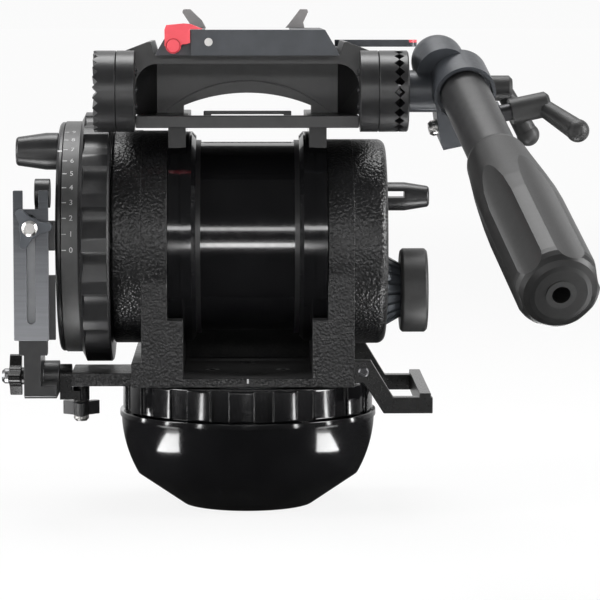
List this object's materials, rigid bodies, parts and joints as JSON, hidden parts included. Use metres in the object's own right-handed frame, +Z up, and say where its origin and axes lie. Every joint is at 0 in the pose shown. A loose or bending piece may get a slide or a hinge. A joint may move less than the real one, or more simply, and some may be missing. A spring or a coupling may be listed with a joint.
{
  "type": "fluid video head",
  "caption": "Fluid video head with levelling ball, panning yoke, tilting drum and platform, drag dial, side knobs, pan handle and a swing-out slotted leveller plate.",
  "frame": {"origin": "mouth of the tie-down thread under the levelling ball", "axes": "+Z up along the pan axis, +X towards the pan handle, -Y towards the operator"},
  "size_m": [0.3373, 0.3562, 0.2915],
  "materials": {
    "gloss_black": "gloss black enamel",
    "wrinkle_black": "black wrinkle paint",
    "satin_black": "satin black anodised",
    "matte_black": "matte black",
    "grip_rubber": "moulded rubber",
    "steel": "ground steel",
    "dark_steel": "black oxide steel",
    "bright_steel": "polished stainless screws",
    "plate_grey": "grey-blue anodised",
    "red": "bright red",
    "horn_grey": "mid grey moulding",
    "brushed_plate": "brushed aluminium",
    "knob_grey": "grey-blue moulding",
    "drag_metal": "machined aluminium"
  },
  "bodies": {
    "base": {"ball_base": "gloss_black", "pan_spindle": "steel", "pan_bearing": "steel", "pan_fluid_cup": "drag_metal"},
    "pan_ring": {"pan_drag_ring": "gloss_black"},
    "yoke": {"yoke_casting": "wrinkle_black", "yoke_bolts": "dark_steel", "pan_fluid_rotor": "drag_metal", "left_housing": "wrinkle_black", "dial_end_cap": "satin_black", "right_housing": "wrinkle_black", "tilt_shaft": "steel", "counterbalance_spring": "steel", "carry_handle": "matte_black", "carry_handle_screws": "dark_steel", "leveller_foot": "satin_black"},
    "tilt": {"tilt_drum": "gloss_black", "drum_rings": "satin_black", "collar_left": "gloss_black", "collar_right": "gloss_black", "tilt_bearings": "steel", "platform_plate": "wrinkle_black", "platform_casting": "satin_black", "platform_screws": "dark_steel", "rosette_left": "satin_black", "rosette_right": "satin_black", "plate_receptacle": "plate_grey", "guide_horns": "horn_grey", "receptacle_screw": "bright_steel"},
    "tilt_dial": {"dial_grip_ring": "satin_black", "dial_scale_ring": "satin_black"},
    "cb_knob": {"counterbalance_knob": "satin_black"},
    "tilt_lock": {"tilt_lock_knob": "satin_black"},
    "drag_knob": {"drag_knob": "matte_black", "drag_knob_hub": "matte_black"},
    "release_lever": {"release_lever": "red"},
    "release_button": {"release_button": "red"},
    "plate_lock": {"plate_lock_lever": "plate_grey", "plate_lock_tip": "red"},
    "handle": {"handle_rosette": "satin_black", "handle_bracket": "satin_black", "clamp_screw": "bright_steel", "rosette_bolt": "steel"},
    "handle_tube": {"handle_tube": "satin_black", "handle_grip": "grip_rubber", "grip_end_ring": "matte_black"},
    "clamp_lever": {"clamp_lever": "matte_black", "clamp_lever_stud": "bright_steel"},
    "knuckle_lever": {"knuckle_lever": "matte_black", "knuckle_stud": "bright_steel"},
    "leveller_arm": {"leveller_arm": "satin_black", "guide_strip": "plate_grey"},
    "leveller_plate": {"leveller_plate": "brushed_plate"},
    "plate_knob": {"plate_knob": "knob_grey", "plate_knob_screw": "bright_steel"},
    "arm_knob": {"arm_knob": "gloss_black", "arm_knob_screw": "bright_steel"},
    "foot_wing": {"foot_wing": "satin_black", "foot_wing_screw": "bright_steel"}
  },
  "joints": [
    {"name": "pan", "type": "hinge", "parent": "base", "child": "yoke", "pos_m": [0, 0, 0.075], "axis": [0, 0, 1], "continuous": true},
    {"name": "pan_drag", "type": "hinge", "parent": "base", "child": "pan_ring", "pos_m": [0, 0, 0.065], "axis": [0, 0, 1], "range_deg": [-150, 150]},
    {"name": "tilt", "type": "hinge", "parent": "yoke", "child": "tilt", "pos_m": [0, 0, 0.158], "axis": [1, 0, 0], "range_deg": [-90, 90]},
    {"name": "tilt_drag", "type": "hinge", "parent": "yoke", "child": "tilt_dial", "pos_m": [-0.088, 0, 0.158], "axis": [1, 0, 0], "range_deg": [-54, 15]},
    {"name": "cb_knob", "type": "hinge", "parent": "yoke", "child": "cb_knob", "pos_m": [-0.11, -0.02, 0.2093], "axis": [1, 0, 0], "continuous": true},
    {"name": "tilt_lock", "type": "hinge", "parent": "yoke", "child": "tilt_lock", "pos_m": [0.0812, 0, 0.1815], "axis": [1, 0, 0], "range_deg": [-90, 90]},
    {"name": "drag_knob", "type": "hinge", "parent": "yoke", "child": "drag_knob", "pos_m": [0.0812, 0, 0.1259], "axis": [1, 0, 0], "continuous": true},
    {"name": "release_lever", "type": "hinge", "parent": "tilt", "child": "release_lever", "pos_m": [-0.042, -0.056, 0.2712], "axis": [0, -1, 0], "range_deg": [0, 60]},
    {"name": "release_button", "type": "slide", "parent": "release_lever", "child": "release_button", "axis": [0, 1, 0], "range_m": [0, 0.0015], "stiffness_N_per_m": 800},
    {"name": "plate_lock", "type": "hinge", "parent": "tilt", "child": "plate_lock", "pos_m": [0.058, 0.06, 0.2688], "axis": [0, 0, 1], "range_deg": [0, 70]},
    {"name": "handle_angle", "type": "hinge", "parent": "tilt", "child": "handle", "pos_m": [0.09, -0.055, 0.2452], "axis": [1, 0, 0], "range_deg": [-60, 50]},
    {"name": "handle_extend", "type": "slide", "parent": "handle", "child": "handle_tube", "axis": [0.1526, -0.8963, -0.4163], "range_m": [0, 0.012]},
    {"name": "clamp_lever", "type": "hinge", "parent": "handle", "child": "clamp_lever", "pos_m": [0.12473, -0.04605, 0.22759], "axis": [0.9768, 0.0727, 0.2014], "range_deg": [-60, 60]},
    {"name": "knuckle_lever", "type": "hinge", "parent": "handle", "child": "knuckle_lever", "pos_m": [0.1398, -0.025, 0.246], "axis": [1, 0, 0], "range_deg": [0, 120]},
    {"name": "leveller_swing", "type": "hinge", "parent": "yoke", "child": "leveller_arm", "pos_m": [-0.11, -0.04, 0.08], "axis": [1, 0, 0], "range_deg": [0, 75]},
    {"name": "leveller_slide", "type": "slide", "parent": "leveller_arm", "child": "leveller_plate", "axis": [0, 0, 1], "range_m": [-0.004, 0.048]},
    {"name": "plate_knob", "type": "hinge", "parent": "leveller_arm", "child": "plate_knob", "pos_m": [-0.1228, -0.0763, 0.1689], "axis": [0, 1, 0], "continuous": true},
    {"name": "arm_knob", "type": "hinge", "parent": "leveller_arm", "child": "arm_knob", "pos_m": [-0.128, -0.04, 0.08], "axis": [1, 0, 0], "continuous": true},
    {"name": "foot_wing", "type": "hinge", "parent": "yoke", "child": "foot_wing", "pos_m": [-0.097, -0.035, 0.067], "axis": [0, 0, 1], "continuous": true}
  ]
}
